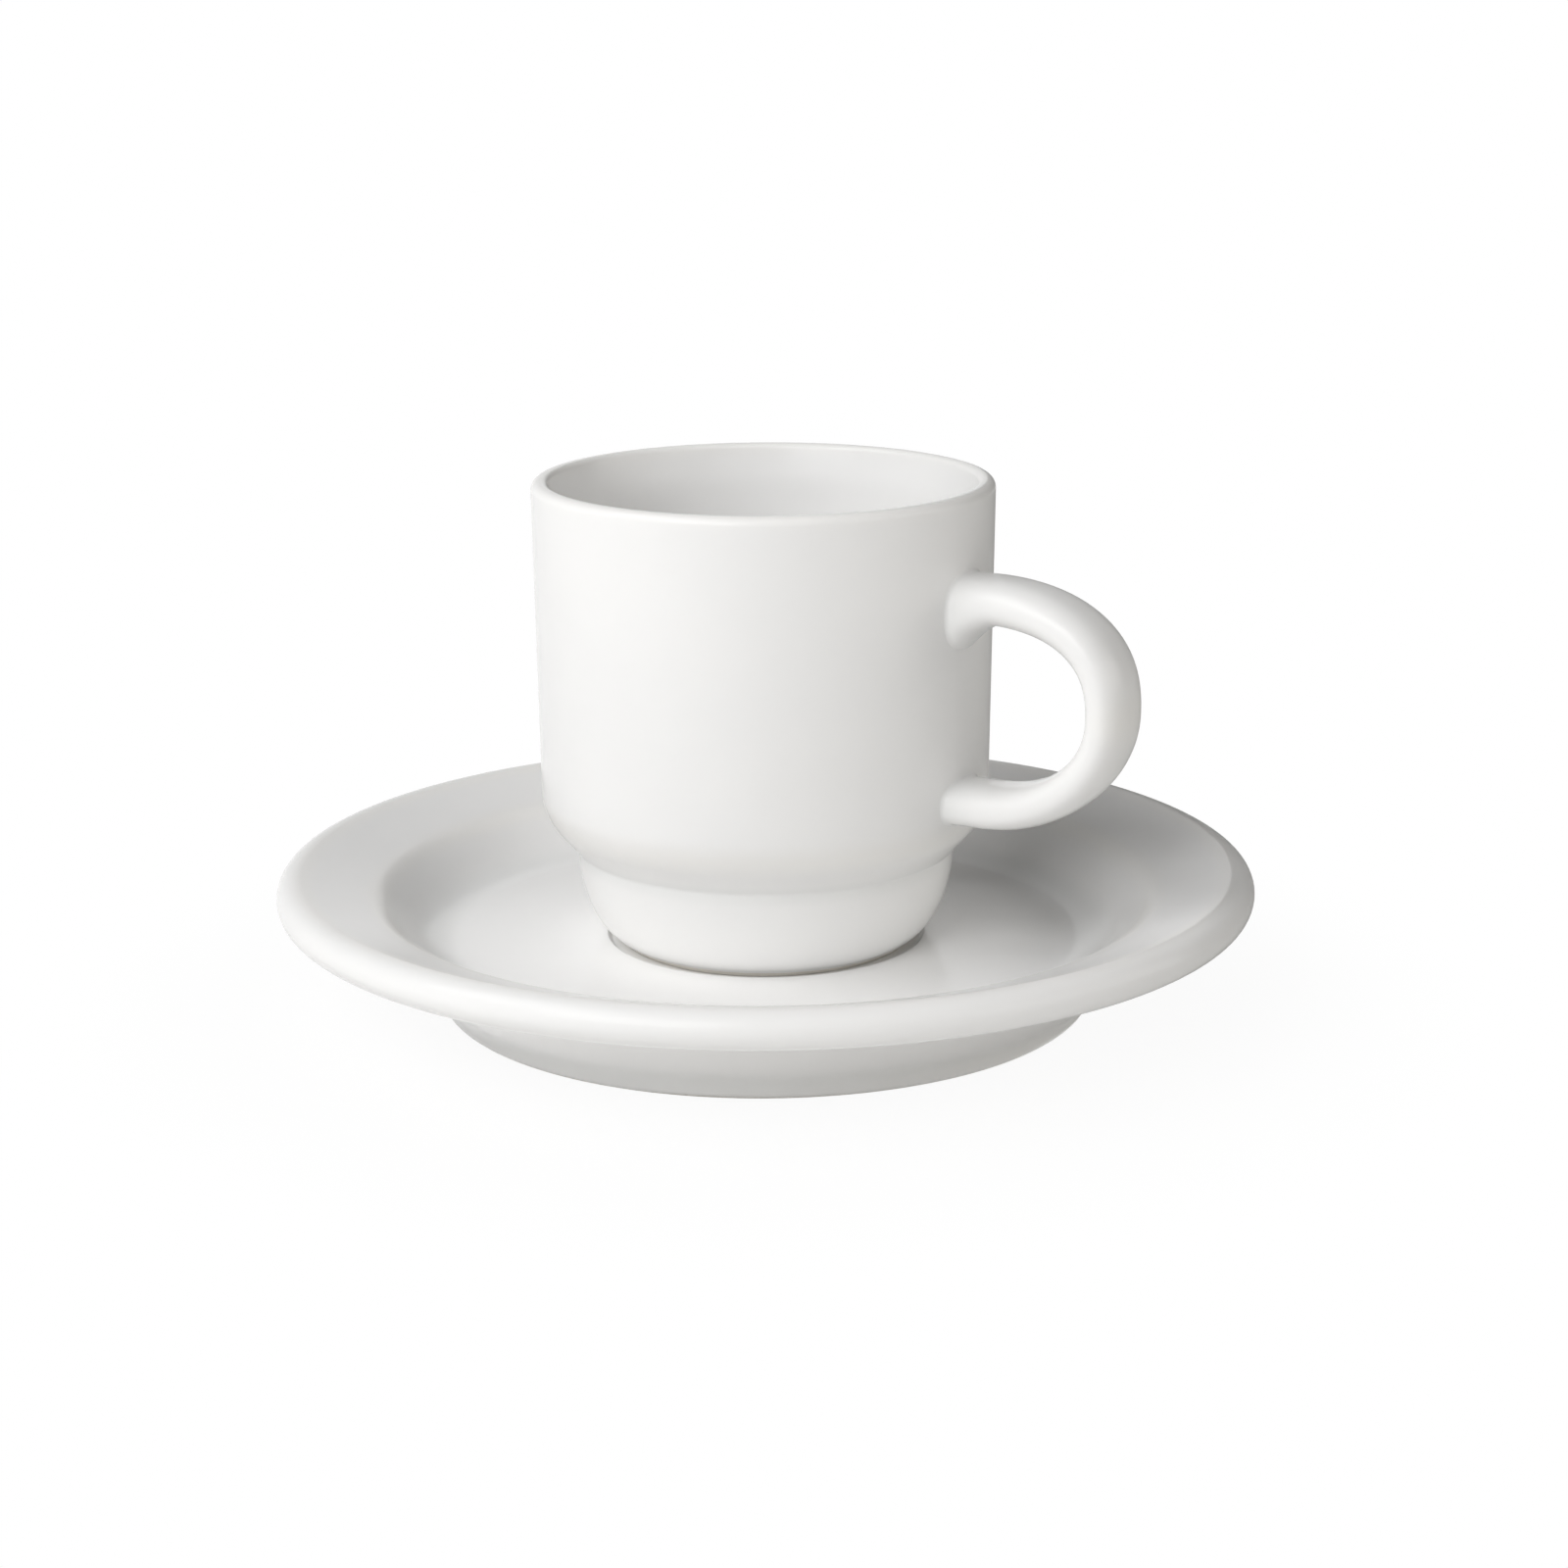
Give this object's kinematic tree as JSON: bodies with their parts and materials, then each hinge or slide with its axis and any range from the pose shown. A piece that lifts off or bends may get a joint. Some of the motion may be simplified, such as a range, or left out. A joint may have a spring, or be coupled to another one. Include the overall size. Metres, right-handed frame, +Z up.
{
  "type": "espresso cup with saucer",
  "caption": "Thick-walled white porcelain espresso cup with a loop handle and a stacking step, seated in a round saucer with a rolled edge, a sunken well and a tall foot ring.",
  "frame": {"origin": "on the table plane under the middle of the saucer's foot ring", "axes": "+Z up along the axis that cup and saucer share, +X along the cup's handle"},
  "size_m": [0.129, 0.129, 0.0696],
  "materials": {
    "saucer_glaze": "glossy white glaze with a dry foot ring",
    "cup_glaze": "glossy white glaze with a dry foot ring",
    "handle_glaze": "glossy white glaze"
  },
  "bodies": {
    "saucer": {"saucer": "saucer_glaze"},
    "cup": {"cup_body": "cup_glaze", "cup_handle": "handle_glaze"}
  },
  "joints": [
    {"name": "cup_lift", "type": "slide", "parent": "saucer", "child": "cup", "axis": [0, 0, 1], "range_m": [0, 0.08]}
  ]
}
